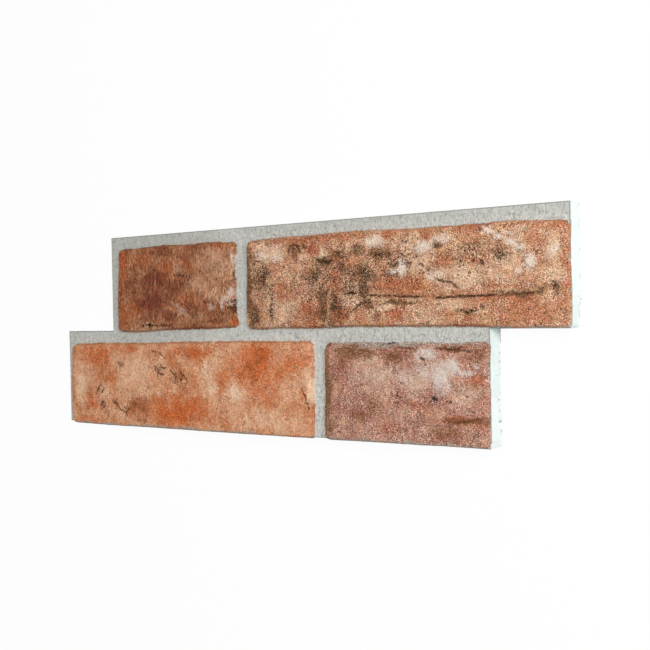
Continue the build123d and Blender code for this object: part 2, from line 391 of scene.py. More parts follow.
# White strokes on each brick, in the same way
CHALK = {
    "upper_header": (
        (0.35, 0.4, ((106.8, 120), (107.2, 115), (107, 109.5))),
        (0.9, 0.2, ((123.5, 97), (130, 93.5), (137, 90), (143.5, 84.5))),
        (0.8, 0.2, ((130, 91), (138, 87))), (0.6, 0.6, ((174.5, 97.5), (174.3, 90))),
        (0.5, 0.8, ((96.6, 81), (97, 78.4))), (0.4, 0.3, ((104, 88), (104.2, 81))),
        # The last stroke, down the header's right edge, is a painted highlight
        (0.5, 0.35, ((185, 131), (184.6, 123))),
    ),
    "upper_stretcher": (
        (0.9, 0.45, ((388, 138.4), (391, 136.4), (400, 131.2))),
        (0.6, 0.35, ((403, 130), (408, 127.6), (414, 123.5))),
        (0.5, 0.4, ((410, 110), (415, 109), (419, 110.5))),
        (0.5, 0.6, ((322, 110.5), (327, 113), (330, 118))), (0.4, 0.5, ((332, 114), (336, 113.5))),
        (0.5, 0.45, ((402, 134.5), (409, 132))), (0.4, 0.4, ((426, 134), (430, 131), (434, 132))),
        (0.4, 0.4, ((432, 120), (437, 123), (440, 119))),
    ),
    "lower_stretcher": (
        (0.5, 0.5, ((152, 56), (156, 50), (161, 46), (163, 40))),
        (0.4, 0.4, ((158, 36), (163, 33), (169, 27.5))), (0.5, 0.9, ((162.6, 66.2), (164.6, 65.8))),
    ),
    "lower_header": (
        (0.5, 0.45, ((338, 60), (346, 61.5), (353, 60))), (0.5, 0.45, ((366, 54), (370, 50), (373, 45))),
        (0.7, 0.7, ((389.5, 43), (391.5, 40))), (0.9, 0.6, ((381, 51.4), (383, 50.6))),
    ),
}

# Grooves of the cracks, mm: half width, depth and the points of the line
CRACKS = (
    (
        0.8,
        1.2,
        (
            (304.0, 97.7), (324.1, 96.5), (344.1, 96.0), (354.0, 94.7), (369.1, 95.3), (407.0, 95.3),
            (427.0, 96.5),
        ),
    ),
    (0.5, 0.6, ((310.9, 93.0), (325.3, 92.3), (340.9, 91.5))),
    (0.5, 0.6, ((339.9, 13.0), (354.0, 13.5), (362.9, 13.5), (371.0, 16.5), (383.1, 18.5))),
)

# Knocks on the bricks, mm: middle (u, v), half length, half height and depth
CHIPS = (
    (184, 80, 8, 4, 0.9), (189, 95, 3, 9, 0.7), (255, 31, 4, 9, 0.8), (268, 31, 3, 8, 0.7),
    (326, 120, 5, 5, 0.5), (302, 111, 7, 6, 0.6), (300, 66, 9, 3, 0.6), (366, 62, 12, 2.5, 0.5),
    (72, 13, 4, 5, 0.4), (392, 41, 2.5, 3, 0.6), (204, 84, 5, 6, 0.6), (434, 98, 4, 4, 0.5),
)

# Shapes

LATTICE = 512
OCTAVE_SHIFT_U = 7.3
OCTAVE_SHIFT_V = 3.1

# Fine relief, mm
CRUMBLE = 0.7
PIT_SIZE = 2.9
PIT_DEPTH = 0.75
SOOT_PITS = 0.22
CHIP_FRAY = 0.9
CRACK_SHAKE = 0.9
MORTAR_LUMPS = 0.45
MORTAR_GRIT = 0.45
HOLE_SIZE = 2.3
HOLE_DEPTH = 0.6
WARP_REACH = 12.0

# Edges of the painted marks, mm, and the share of its half size that a stain reaches to
STAIN_WARP = 5.0
FINE_WARP = 2.0
STAIN_REACH = 1.35
LINE_SHAKE = 1.2
LINE_REACH = 4.0


def smooth(value, low, high):
    """Eased share of the way from low to high."""
    share = np.clip((value - low) / (high - low), 0, 1)
    return share * share * (3 - 2 * share)


def noise(x, y, seed):
    """Seeded smooth noise between 0 and 1, with one cell a unit wide."""
    lattice = np.random.default_rng(seed).random((LATTICE, LATTICE))
    column = np.floor(x).astype(int)
    row = np.floor(y).astype(int)
    across = smooth(x - column, 0, 1)
    up = smooth(y - row, 0, 1)
    column = column % LATTICE
    row = row % LATTICE
    next_column = (column + 1) % LATTICE
    next_row = (row + 1) % LATTICE
    low = lattice[column, row] * (1 - across) + lattice[next_column, row] * across
    high = lattice[column, next_row] * (1 - across) + lattice[next_column, next_row] * across
    return low * (1 - up) + high * up


def rough(u, v, size, seed, octaves=3):
    """Several sizes of noise summed, between -0.5 and 0.5; size is the largest, in mm."""
    total = np.zeros_like(u)
    weight = 0.0
    for octave in range(octaves):
        share = 0.5**octave
        x = u / (size * share) + OCTAVE_SHIFT_U * octave
        y = v / (size * share) + OCTAVE_SHIFT_V * octave
        total += share * noise(x, y, seed + octave)
        weight += share
    return total / weight - 0.5


def wavy(shares, run):
    """A smooth curve through shares set at even steps, read at run from 0 to 1."""
    values = np.asarray(shares)
    last = len(values) - 1
    at = np.clip(run, 0, 1) * last
    step = np.minimum(at.astype(int), last - 1)
    part = at - step
    before = values[np.maximum(step - 1, 0)]
    start = values[step]
    end = values[step + 1]
    after = values[np.minimum(step + 2, last)]
    bend = 2 * before - 5 * start + 4 * end - after
    twist = 3 * start - before - 3 * end + after
    return start + 0.5 * part * ((end - before) + part * (bend + part * twist))


def edge_places(brick, u, v):
    """Where the brick's four worn edges run beside each point."""
    along = (u - brick.left - CORNER_WEAR) / (brick.right - brick.left - 2 * CORNER_WEAR)
    up = (v - brick.bottom - CORNER_WEAR) / (BRICK_HEIGHT - 2 * CORNER_WEAR)
    left = brick.left + WEAR_DEPTH * wavy(brick.hollows["left"], up)
    right = brick.right - WEAR_DEPTH * wavy(brick.hollows["right"], up)
    bottom = brick.bottom + WEAR_DEPTH * wavy(brick.hollows["bottom"], along)
    top = brick.top - WEAR_DEPTH * wavy(brick.hollows["top"], along)
    return left, right, bottom, top


def within_corners(radius, across, upright):
    """Distance inside an outline with rounded corners, from the distances to its two nearest edges."""
    short_across = np.maximum(radius - across, 0)
    short_upright = np.maximum(radius - upright, 0)
    rounded = radius - np.hypot(short_across, short_upright)
    near_edge = (across < radius) | (upright < radius)
    return np.where(near_edge, rounded, np.minimum(across, upright))


def brick_inset(brick, u, v):
    """How far each point lies inside the brick's outline, mm, plain and with the lean of its top."""
    left, right, bottom, top = edge_places(brick, u, v)
    crumble = CRUMBLE * rough(u, v, size=5.0, seed=11)
    across = np.minimum(u - left, right - u) + crumble
    from_bottom = v - bottom + crumble
    from_top = top - v + crumble
    steep = from_top * FLANK_LEAN / brick.top_lean
    leaning_top = np.where(from_top < brick.top_lean, steep, from_top - brick.top_lean + FLANK_LEAN)
    radius = brick.corner_round
    inset = within_corners(radius, across, np.minimum(from_bottom, from_top))
    climb = within_corners(radius, across, np.minimum(from_bottom, leaning_top))
    return inset, climb


def crest(inset):
    """Height of a brick above the mortar: a leaning flank, then a quarter round."""
    flank = BRICK_RELIEF - EDGE_ROUND
    into_round = np.clip((FLANK_LEAN + EDGE_ROUND - inset) / EDGE_ROUND, 0, 1)
    on_flank = flank * np.clip(inset / FLANK_LEAN, 0, 1)
    on_round = flank + EDGE_ROUND * np.sqrt(1 - into_round**2)
    return np.where(inset < FLANK_LEAN, on_flank, on_round)


def line_distance(u, v, points):
    """Distance from each point to a bent line, mm."""
    nearest = np.full_like(u, np.inf)
    for (start_u, start_v), (end_u, end_v) in zip(points[:-1], points[1:]):
        run_u = end_u - start_u
        run_v = end_v - start_v
        share = ((u - start_u) * run_u + (v - start_v) * run_v) / (run_u**2 + run_v**2)
        share = np.clip(share, 0, 1)
        distance = np.hypot(u - start_u - share * run_u, v - start_v - share * run_v)
        nearest = np.minimum(nearest, distance)
    return nearest


def spot_reach(u, v, spot_u, spot_v, half_length, half_height):
    """Distance from a spot's middle, as a share of its half sizes."""
    return np.hypot((u - spot_u) / half_length, (v - spot_v) / half_height)


def plate_edge(u, v):
    """Distance from each point to the nearest outer edge of the mortar, mm."""
    left = np.where(v < COURSE_HEIGHT, u, u - COURSE_STEP)
    right = COURSE_LENGTH - left
    nearest = np.minimum(np.minimum(left, right), np.minimum(v, PANEL_HEIGHT - v))
    left_corner = np.hypot(u - COURSE_STEP, v - COURSE_HEIGHT)
    left_step = np.where(u < COURSE_STEP, COURSE_HEIGHT - v, left_corner)
    right_corner = np.hypot(u - COURSE_LENGTH, v - COURSE_HEIGHT)
    right_step = np.where(u > COURSE_LENGTH, v - COURSE_HEIGHT, right_corner)
    return np.minimum(nearest, np.minimum(left_step, right_step))


def round_drop(radius, distance):
    """How far a rounded edge or corner falls back, this far from where it starts."""
    short = radius - np.clip(distance, 0, radius)
    return radius - np.sqrt(radius**2 - short**2)


def overhang(u, v):
    """Points of the mortar plate moved to the bricks that stand past its right ends and its foot.

    The plate's lower right corners are drawn in to the rounded corners of the bricks.
    """
    upper_header, upper_stretcher, lower_stretcher, lower_header = BRICKS
    moved_u = u.copy()
    moved_v = v.copy()
    for brick, end, low, high in (
        (lower_header, COURSE_LENGTH, 0, COURSE_HEIGHT),
        (upper_stretcher, PANEL_LENGTH, COURSE_HEIGHT, PANEL_HEIGHT),
    ):
        left, right, bottom, top = edge_places(brick, u, v)
        radius = brick.corner_round
        reach = right - round_drop(radius, v - brick.bottom) - round_drop(radius, brick.top - v) - end
        near = np.clip((u - end + WARP_REACH) / WARP_REACH, 0, 1)
        in_course = (v >= low) & (v <= high) & (u <= end)
        at_corner = v < np.maximum(bottom, low) + radius
        reach = np.where(at_corner, reach, np.maximum(reach, 0))
        moved_u += np.where(in_course, reach * near, 0)
    for brick in (lower_stretcher, lower_header):
        left, right, bottom, top = edge_places(brick, u, v)
        radius = brick.corner_round
        reach = -bottom - round_drop(radius, u - brick.left) - round_drop(radius, brick.right - u)
        near = np.clip((WARP_REACH - v) / WARP_REACH, 0, 1)
        moved_v -= np.maximum(reach, 0) * near
    return moved_u, moved_v


def stain_fields(u, v, nearest):
    """Strength of each kind of stain at each point, with frayed edges."""
    fray_u = STAIN_WARP * rough(u, v, size=9.0, seed=21)
    fray_v = STAIN_WARP * rough(u, v, size=9.0, seed=41)
    warped_u = u + fray_u + FINE_WARP * rough(u, v, size=3.0, seed=31, octaves=2)
    warped_v = v + fray_v + FINE_WARP * rough(u, v, size=3.0, seed=51, octaves=2)
    fields = {}
    for kind in ("deep", "rust", "pale", "lime", "soot", "bare", "darkening"):
        fields[kind] = np.zeros_like(u)
    for index, brick in enumerate(BRICKS):
        mine = nearest == index
        for kind, spots in STAINS[brick.name].items():
            for *spot, strength in spots:
                reach = spot_reach(warped_u[mine], warped_v[mine], *spot)
                cover = strength * np.clip(STAIN_REACH - reach, 0, 1)
                fields[kind][mine] = np.maximum(fields[kind][mine], cover)
    for *spot, strength in DARKENING_PATCHES:
        cover = strength * smooth(spot_reach(u, v, *spot), 1.4, 0.6)
        fields["darkening"] = np.maximum(fields["darkening"], cover)
    return fields


def line_fields(u, v, nearest, name, lines):
    """Distance past the edge of the nearest drawn line, and that line's strength."""
    shaky_u = u + LINE_SHAKE * rough(u, v, size=4.0, seed=61)
    shaky_v = v + LINE_SHAKE * rough(u, v, size=4.0, seed=71)
    distance = np.full_like(u, LINE_REACH)
    strength = np.zeros_like(u)
    for index, brick in enumerate(BRICKS):
        for half_width, line_strength, points in lines[brick.name]:
            past = line_distance(shaky_u, shaky_v, points) - half_width
            closer = (past < distance) & (nearest == index)
            distance = np.where(closer, past, distance)
            strength = np.where(closer, line_strength, strength)
    return {name: distance, f"{name}_strength": strength}


def face_relief(u, v, inset, nearest, soot):
    """Wear of the brick faces, mm: swells, lumps, grain, brush streaks, pits, chips and cracks."""
    swell, lumps, grain, streaks = (
        np.array([getattr(brick, name) for brick in BRICKS])[nearest]
        for name in ("swell", "lumps", "grain", "streaks")
    )
    relief = swell * rough(u, v, size=26.0, seed=101, octaves=2)
    relief += lumps * rough(u, v, size=7.5, seed=111, octaves=2)
    relief += grain * 2 * rough(u, v, size=2.6, seed=121, octaves=1)
    relief += streaks * rough(u * 4, v, size=9.0, seed=131, octaves=2)
    pores = noise(u / PIT_SIZE, v / PIT_SIZE, seed=141) + SOOT_PITS * np.minimum(soot, 1)
    pits = smooth(pores, 0.78, 0.98)
    relief -= PIT_DEPTH * pits
    for *spot, depth in CHIPS:
        frayed = spot_reach(u, v, *spot) + CHIP_FRAY * rough(u, v, size=4.0, seed=151)
        relief -= depth * smooth(frayed, 1.1, 0.6)
    shaky_v = v + CRACK_SHAKE * rough(u, v, size=5.0, seed=161)
    for half_width, depth, points in CRACKS:
        distance = line_distance(u, shaky_v, points)
        relief -= depth * smooth(distance, 1.6 * half_width, 0.3 * half_width)
    return relief * smooth(inset, 0.0, 2.5), pits


def mortar_relief(u, v):
    """Sanded mortar, mm: shallow lumps, grit and pinholes."""
    relief = MORTAR_LUMPS * rough(u, v, size=8.0, seed=201, octaves=2)
    relief += MORTAR_GRIT * rough(u, v, size=2.2, seed=211, octaves=1)
    holes = smooth(noise(u / HOLE_SIZE, v / HOLE_SIZE, seed=221), 0.86, 0.97)
    return relief - HOLE_DEPTH * holes, holes


def stone_face(u, v):
    """At points of the front: its height in mm, the nearest brick, and the fields that the paints read."""
    insets, climbs = np.swapaxes([brick_inset(brick, u, v) for brick in BRICKS], 0, 1)
    nearest = insets.argmax(axis=0)
    inset = insets.max(axis=0)
    climb = climbs.max(axis=0)
    fields = stain_fields(u, v, nearest)
    fields.update(line_fields(u, v, nearest, "line", LINES))
    fields.update(line_fields(u, v, nearest, "chalk", CHALK))
    worn, pits = face_relief(u, v, climb, nearest, fields["soot"])
    sanded, holes = mortar_relief(u, v)
    edge = plate_edge(u, v)
    on_mortar = smooth(inset, 0.8, -0.2)
    calm_edge = smooth(edge, 0.0, 1.5)
    plain = sanded * calm_edge - round_drop(ARRIS_ROUND, edge)
    height = MORTAR_DEPTH + crest(climb) + worn + on_mortar * plain
    fields["inset"] = inset
    fields["pit"] = np.where(inset > 0, pits, holes)
    fields["edge"] = edge
    return height, nearest, fields


# Mesh

# Distances between points, mm, and the shares of the depth where the sides have rings of points
FINE_PITCH = 0.55
COARSE_PITCH = 1.06
BACK_PITCH = 11.0
SIDE_SHARES = (0.12, 0.28, 0.45, 0.62, 0.78, 0.92, 1.0)

# Spans of u and v, mm, where the grid is fine: beside the brick edges and along the long crack
FINE_COLUMNS = ((5.0, 10.0), (61.5, 67.5), (182.5, 201.0), (251.5, 268.5), (385.0, 390.0), (438.5, 443.5))
FINE_ROWS = ((0.0, 4.0), (62.5, 80.0), (93.5, 98.5), (137.0, 143.0), (148.5, 150.0))

# Rough sides, mm, and the hollow back
SIDE_INSET = 0.2
SIDE_LUMPS = 0.5
SIDE_GRIT = 0.3
SIDE_ROUGHNESS = 0.6
BREAK_SIZE = 5.0
BREAK_DEPTH = 1.6
BACK_HOLLOW = 0.25
BACK_SWELL = 0.5
SHARP_ANGLE = radians(60)

# Bake layout, mm of the stone's face across the whole square
LAYOUT_SIZE = 305.0
LAYOUT_GAP = 2.0
BACK_SCALE = 0.35
SIDE_SCALE = 0.5
SIDE_STRIP = 118.0

# Where each brick's part of the front starts, u and v, and where that lies in the layout, x and y
TILES = {
    "upper_header": (COURSE_STEP, 69.0, LAYOUT_GAP, 166.0),
    "upper_stretcher": (190.5, 69.0, LAYOUT_GAP, 82.0),
    "lower_stretcher": (0.0, -2.0, LAYOUT_GAP, LAYOUT_GAP),
    "lower_header": (258.5, -2.0, 148.0, 166.0),
}
BACK_TILE = (LAYOUT_GAP, 250.0)
SIDE_TILE = (162.0, 250.0)


def grid_lines(stops, fine_spans):
    """Grid lines through every stop, closer together inside the fine spans."""
    breaks = sorted({*stops, *[end for span in fine_spans for end in span]})
    lines = [breaks[0]]
    for start, end in zip(breaks[:-1], breaks[1:]):
        middle = (start + end) / 2
        fine = any(low < middle < high for low, high in fine_spans)
        steps = max(1, round((end - start) / (FINE_PITCH if fine else COARSE_PITCH)))
        lines.extend(np.linspace(start, end, steps + 1)[1:])
    return np.array(lines)


class Mesh:
    """Points, faces, and the material and layout places of each face, collected piece by piece."""

    def __init__(self):
        self.points = []
        self.faces = []
        self.materials = []
        self.places = []

    def add_face(self, corners, material, places):
        self.faces.append(corners)
        self.materials.append(material)
        self.places.extend(places)


def outline_loop(columns, rows):
    """Grid places round the stepped outline, anticlockwise, each with the way out of the stone."""
    step_column = int(np.argmin(abs(columns - COURSE_STEP)))
    end_column = int(np.argmin(abs(columns - COURSE_LENGTH)))
    last_column = len(columns) - 1
    mid_row = int(np.argmin(abs(rows - COURSE_HEIGHT)))
    last_row = len(rows) - 1
    corners = [
        (0, 0),
        (end_column, 0),
        (end_column, mid_row),
        (last_column, mid_row),
        (last_column, last_row),
        (step_column, last_row),
        (step_column, mid_row),
        (0, mid_row),
    ]
    loop = []
    for (column, row), corner in zip(corners, corners[1:] + corners[:1]):
        along, up = (int(np.sign(to - start)) for to, start in zip(corner, (column, row)))
        while (column, row) != corner:
            loop.append((column, row, (up, -along)))
            column += along
            row += up
    return loop


def on_plate(u, v):
    """Whether points lie within the stepped outline."""
    lower = (v <= COURSE_HEIGHT) & (u <= COURSE_LENGTH)
    upper = (v >= COURSE_HEIGHT) & (u >= COURSE_STEP)
    return lower | upper


def front_faces(mesh, columns, rows):
    """The front of the stone; returns the grid's point numbers and the fields that the paints read."""
    flat_u, flat_v = np.meshgrid(columns, rows, indexing="ij")
    used = on_plate(flat_u, flat_v)
    numbers = np.full(flat_u.shape, -1)
    numbers[used] = np.arange(used.sum())
    u, v = overhang(flat_u[used], flat_v[used])
    height, nearest, fields = stone_face(u, v)
    mesh.points.extend(np.column_stack((u, v, height)).tolist())
    places = np.empty((len(BRICKS), len(u), 2))
    for index, brick in enumerate(BRICKS):
        from_u, from_v, to_x, to_y = TILES[brick.name]
        places[index, :, 0] = u - from_u + to_x
        places[index, :, 1] = v - from_v + to_y
    middle_u = (flat_u[:-1, :-1] + flat_u[1:, :-1]) / 2
    middle_v = (flat_v[:-1, :-1] + flat_v[:-1, 1:]) / 2
    quads = np.stack((numbers[:-1, :-1], numbers[1:, :-1], numbers[1:, 1:], numbers[:-1, 1:]), axis=-1)
    for corners in quads[on_plate(middle_u, middle_v)].tolist():
        index = int(nearest[corners[0]])
        mesh.add_face(corners, index, places[index, corners])
    return numbers, fields


def standing_proud(flat, ways):
    """How far points of the outline stand past the mortar plate's foot and right ends, mm."""
    plate = np.clip(flat, (0, 0), None)
    proud = np.maximum(np.sum((flat - plate) * ways, axis=1), 0)
    end = np.where(flat[:, 1] < COURSE_HEIGHT, COURSE_LENGTH, PANEL_LENGTH)
    return np.maximum(proud, np.where(ways[:, 0] > 0.5, flat[:, 0] - end, 0))


def side_inset(walked, height, share, drawn_in):
    """How far a side lies inside the front's outline, mm: drawn in, rough, and broken near the back."""
    wobble = SIDE_LUMPS * rough(walked, height, size=6.0, seed=301, octaves=2)
    wobble = wobble + SIDE_GRIT * rough(walked, height, size=1.8, seed=311, octaves=1)
    broken = smooth(noise(walked / BREAK_SIZE, height / BREAK_SIZE, seed=321), 0.62, 0.95)
    broken = broken * smooth(share, 0.55, 1.0)
    return drawn_in - SIDE_ROUGHNESS * wobble + BREAK_DEPTH * broken + SIDE_INSET


def side_rings(mesh, tops, ways):
    """Rings of points from the front's outline down to the back, and the length walked round it, mm."""
    top_points = np.array([mesh.points[top] for top in tops])
    flat = top_points[:, :2]
    lengths = np.linalg.norm(np.roll(flat, -1, axis=0) - flat, axis=1)
    walked = np.concatenate(([0.0], np.cumsum(lengths)))
    drawn_in = np.minimum(standing_proud(flat, ways), BACK_LEAN)
    rings = [tops]
    for share in SIDE_SHARES:
        height = top_points[:, 2] * (1 - share)
        inward = side_inset(walked[:-1], height, share, drawn_in * share)
        ring_points = np.column_stack((flat - ways * inward[:, None], height))
        start = len(mesh.points)
        mesh.points.extend(ring_points.tolist())
        rings.append(list(range(start, start + len(tops))))
    return rings, walked


def side_faces(mesh, loop, numbers):
    """The bare sides; returns the loop of points on the back."""
    tops = [int(numbers[column, row]) for column, row, way in loop]
    ways = np.array([way for column, row, way in loop], dtype=float)
    ways = ways + np.roll(ways, 1, axis=0)
    ways /= np.linalg.norm(ways, axis=1)[:, None]
    rings, walked = side_rings(mesh, tops, ways)
    to_x, to_y = SIDE_TILE
    strip_height = (MORTAR_DEPTH + BRICK_RELIEF) * SIDE_SCALE
    shares = (0.0, *SIDE_SHARES)
    for number in range(len(tops)):
        after = (number + 1) % len(tops)
        strip = int(walked[number] * SIDE_SCALE // SIDE_STRIP)
        near = to_x + walked[number] * SIDE_SCALE - strip * SIDE_STRIP
        far = to_x + walked[number + 1] * SIDE_SCALE - strip * SIDE_STRIP
        for level, (ring, next_ring) in enumerate(zip(rings[:-1], rings[1:])):
            upper = to_y + strip * strip_height + (1 - shares[level]) * MORTAR_DEPTH * SIDE_SCALE
            under = to_y + strip * strip_height + (1 - shares[level + 1]) * MORTAR_DEPTH * SIDE_SCALE
            corners = (ring[number], next_ring[number], next_ring[after], ring[after])
            places = ((near, upper), (near, under), (far, under), (far, upper))
            mesh.add_face(corners, len(BRICKS), places)
    return rings[-1]


def back_grid():
    """Places for points inside the outline of the back."""
    inner = []
    for u in np.arange(BACK_PITCH, PANEL_LENGTH, BACK_PITCH):
        for v in np.arange(BACK_PITCH, PANEL_HEIGHT, BACK_PITCH):
            start = 0 if v < COURSE_HEIGHT else COURSE_STEP
            depth = min(u - start, start + COURSE_LENGTH - u, v, PANEL_HEIGHT - v)
            past_step = u < COURSE_STEP or u > COURSE_LENGTH
            beside_step = past_step and abs(v - COURSE_HEIGHT) < BACK_PITCH / 2
            if depth > BACK_PITCH / 2 and not beside_step:
                inner.append(Vector((u, v)))
    return inner


def back_faces(mesh, rim):
    """The plain back, hollowed a little between its edges."""
    rim_points = [Vector(mesh.points[point][:2]) for point in rim]
    outline = [list(range(len(rim_points)))]
    flat, edges, faces, origins, *rest = delaunay_2d_cdt(rim_points + back_grid(), [], outline, 1, 1e-4)
    numbers = []
    for place, origin in zip(flat, origins):
        known = [source for source in origin if source < len(rim)]
        if known:
            numbers.append(rim[known[0]])
            continue
        numbers.append(len(mesh.points))
        swell = BACK_SWELL * rough(np.array([place.x]), np.array([place.y]), size=30.0, seed=401)[0]
        mesh.points.append((place.x, place.y, max(BACK_HOLLOW + swell, 0.0)))
    to_x, to_y = BACK_TILE
    for corners in faces:
        turned = corners[::-1]
        spots = [flat[corner] * BACK_SCALE for corner in turned]
        places = [(to_x + spot.x, to_y + spot.y) for spot in spots]
        mesh.add_face(tuple(numbers[corner] for corner in turned), len(BRICKS), places)


def facing_stone_surface(materials):
    """The stone's whole skin as one closed mesh."""
    mesh = Mesh()
    columns = grid_lines((0, COURSE_STEP, COURSE_LENGTH, PANEL_LENGTH), FINE_COLUMNS)
    rows = grid_lines((0, COURSE_HEIGHT, PANEL_HEIGHT), FINE_ROWS)
    numbers, fields = front_faces(mesh, columns, rows)
    rim = side_faces(mesh, outline_loop(columns, rows), numbers)
    back_faces(mesh, rim)
    points = np.array(mesh.points)
    placed = (points - (0, PANEL_HEIGHT, 0)) * MM + (cad_low.x, cad_high.y, cad_low.z)
    data = bpy.data.meshes.new("facing_stone_surface")
    data.from_pydata(placed.tolist(), [], mesh.faces)
    for material in materials:
        data.materials.append(material)
    data.polygons.foreach_set("material_index", mesh.materials)
    data.polygons.foreach_set("use_smooth", [True] * len(mesh.faces))
    bake_map = data.uv_layers.new(name="OFBake")
    bake_places = np.array(mesh.places) / LAYOUT_SIZE
    bake_map.data.foreach_set("uv", bake_places.astype(np.float32).ravel())
    for name, values in fields.items():
        whole = np.zeros(len(points), dtype=np.float32)
        whole[: len(values)] = values
        data.attributes.new(name, "FLOAT", "POINT").data.foreach_set("value", whole)
    data.set_sharp_from_angle(angle=SHARP_ANGLE)
    data.update()
    stone = bpy.data.objects.new("facing_stone_surface", data)
    bpy.context.collection.objects.link(stone)
    return stone


# Materials


def paint(red, green, blue):
    """A screen colour, 0 to 255, as the linear colour that a shader takes."""
    linear = []
    for level in (red, green, blue):
        share = level / 255
        linear.append(share / 12.92 if share <= 0.04045 else ((share + 0.055) / 1.055) ** 2.4)
    return (*linear, 1.0)


def add_node(tree, kind, inputs, **settings):
    """A new node with its settings, and each input linked to an output or given a plain value."""
    node = tree.nodes.new(kind)
    for name, value in settings.items():
        setattr(node, name, value)
    for name, value in inputs.items():
        if isinstance(value, bpy.types.NodeSocket):
            tree.links.new(value, node.inputs[name])
        else:
            node.inputs[name].default_value = value
    return node


class Recipe:
    """A node material being put together from a ground colour up; sizes are mm on the stone."""

    def __init__(self, name, ground):
        self.colour = ground
        self.material = bpy.data.materials.new(name)
        self.material.use_nodes = True
        self.tree = self.material.node_tree
        self.shader = self.tree.nodes["Principled BSDF"]
        self.place = self.node("ShaderNodeTexCoord", {}).outputs["Object"]

    def field(self, name):
        return add_node(self.tree, "ShaderNodeAttribute", {}, attribute_name=name).outputs["Fac"]

    def node(self, kind, inputs, **settings):
        """A new node, where a field of the mesh can be given by its name."""
        for name, value in inputs.items():
            if isinstance(value, str):
                inputs[name] = self.field(value)
        return add_node(self.tree, kind, inputs, **settings)

    def noise(self, size, detail=3.0, stretch=(1.0, 1.0), shift=0.0, roughness=0.6):
        """Cloudy noise; stretch makes it longer along u or v, and shift takes another part of it."""
        scale = (1 / stretch[0], 1 / stretch[1], 1)
        moved = {"Vector": self.place, "Location": (shift, shift, shift), "Scale": scale}
        place = self.node("ShaderNodeMapping", moved).outputs["Vector"]
        cloud = {"Vector": place, "Scale": 1 / (size * MM), "Detail": detail, "Roughness": roughness}
        return self.node("ShaderNodeTexNoise", cloud).outputs["Fac"]

    def math(self, operation, first, second, third=0.0):
        node = self.node("ShaderNodeMath", {0: first, 1: second, 2: third}, operation=operation)
        return node.outputs["Value"]

    def times(self, first, second):
        return self.math("MULTIPLY", first, second)

    def add(self, base, value, factor):
        """The base with the value added to it, this many times."""
        return self.math("MULTIPLY_ADD", value, factor, base)

    def step(self, value, low, high, start=0.0, end=1.0):
        """Eased from start to end as the value goes from low to high."""
        reach = {"Value": value, "From Min": low, "From Max": high, "To Min": start, "To Max": end}
        return self.node("ShaderNodeMapRange", reach, interpolation_type="SMOOTHSTEP").outputs["Result"]

    def cover(self, share, over):
        """Lays a paint over the colour so far."""
        inputs = {0: share, 6: self.colour, 7: over}
        self.colour = self.node("ShaderNodeMix", inputs, data_type="RGBA").outputs[2]

    def shade(self, value, hue=0.5):
        """Makes the colour so far lighter or darker by a factor; a hue of 0.5 is its own."""
        inputs = {"Color": self.colour, "Value": value, "Hue": hue}
        self.colour = self.node("ShaderNodeHueSaturation", inputs).outputs["Color"]

    def finish(self, height, depth, roughness, specular):
        """Joins the colour and a bump, whose depth is mm from the lowest to the highest value."""
        bump = self.node("ShaderNodeBump", {"Distance": depth * MM, "Height": height})
        self.tree.links.new(bump.outputs["Normal"], self.shader.inputs["Normal"])
        self.tree.links.new(self.colour, self.shader.inputs["Base Color"])
        self.shader.inputs["Roughness"].default_value = roughness
        self.shader.inputs["Specular IOR Level"].default_value = specular
        return self.material


class Palette(NamedTuple):
    """The colours of one brick, and how its paint breaks up."""

    dark: tuple
    light: tuple
    deep: tuple
    rust: tuple
    pale: tuple
    lime: tuple
    soot: tuple
    softness: float  # half width of the washes' edges
    speckle: float  # how far grains break up the dark wash
    pitting: float  # density of the dark pores
    highlight_fleck: float  # lift of the pale flecks, painted highlights
    wrinkle_shading: float  # swing of the painted shade and highlight along the thin wrinkles
    crease: float  # size of the wrinkles, mm
    tint: float  # swing of the hue
    grit_and_shade: float  # swing of the painted shade and highlight by the fine relief
    sand: float  # swing of the sand grains
    grain: float  # size of the sand grains, mm
    painted_glint: float  # density of the pale grains painted as glints
    relief: float  # depth of the fine relief, mm
    roughness: float
    specular: float
    stretch: tuple = (1.0, 1.0)  # how much longer the washes are along u and v
    brush: tuple = (1.0, 1.0)  # the same for the grains and wrinkles


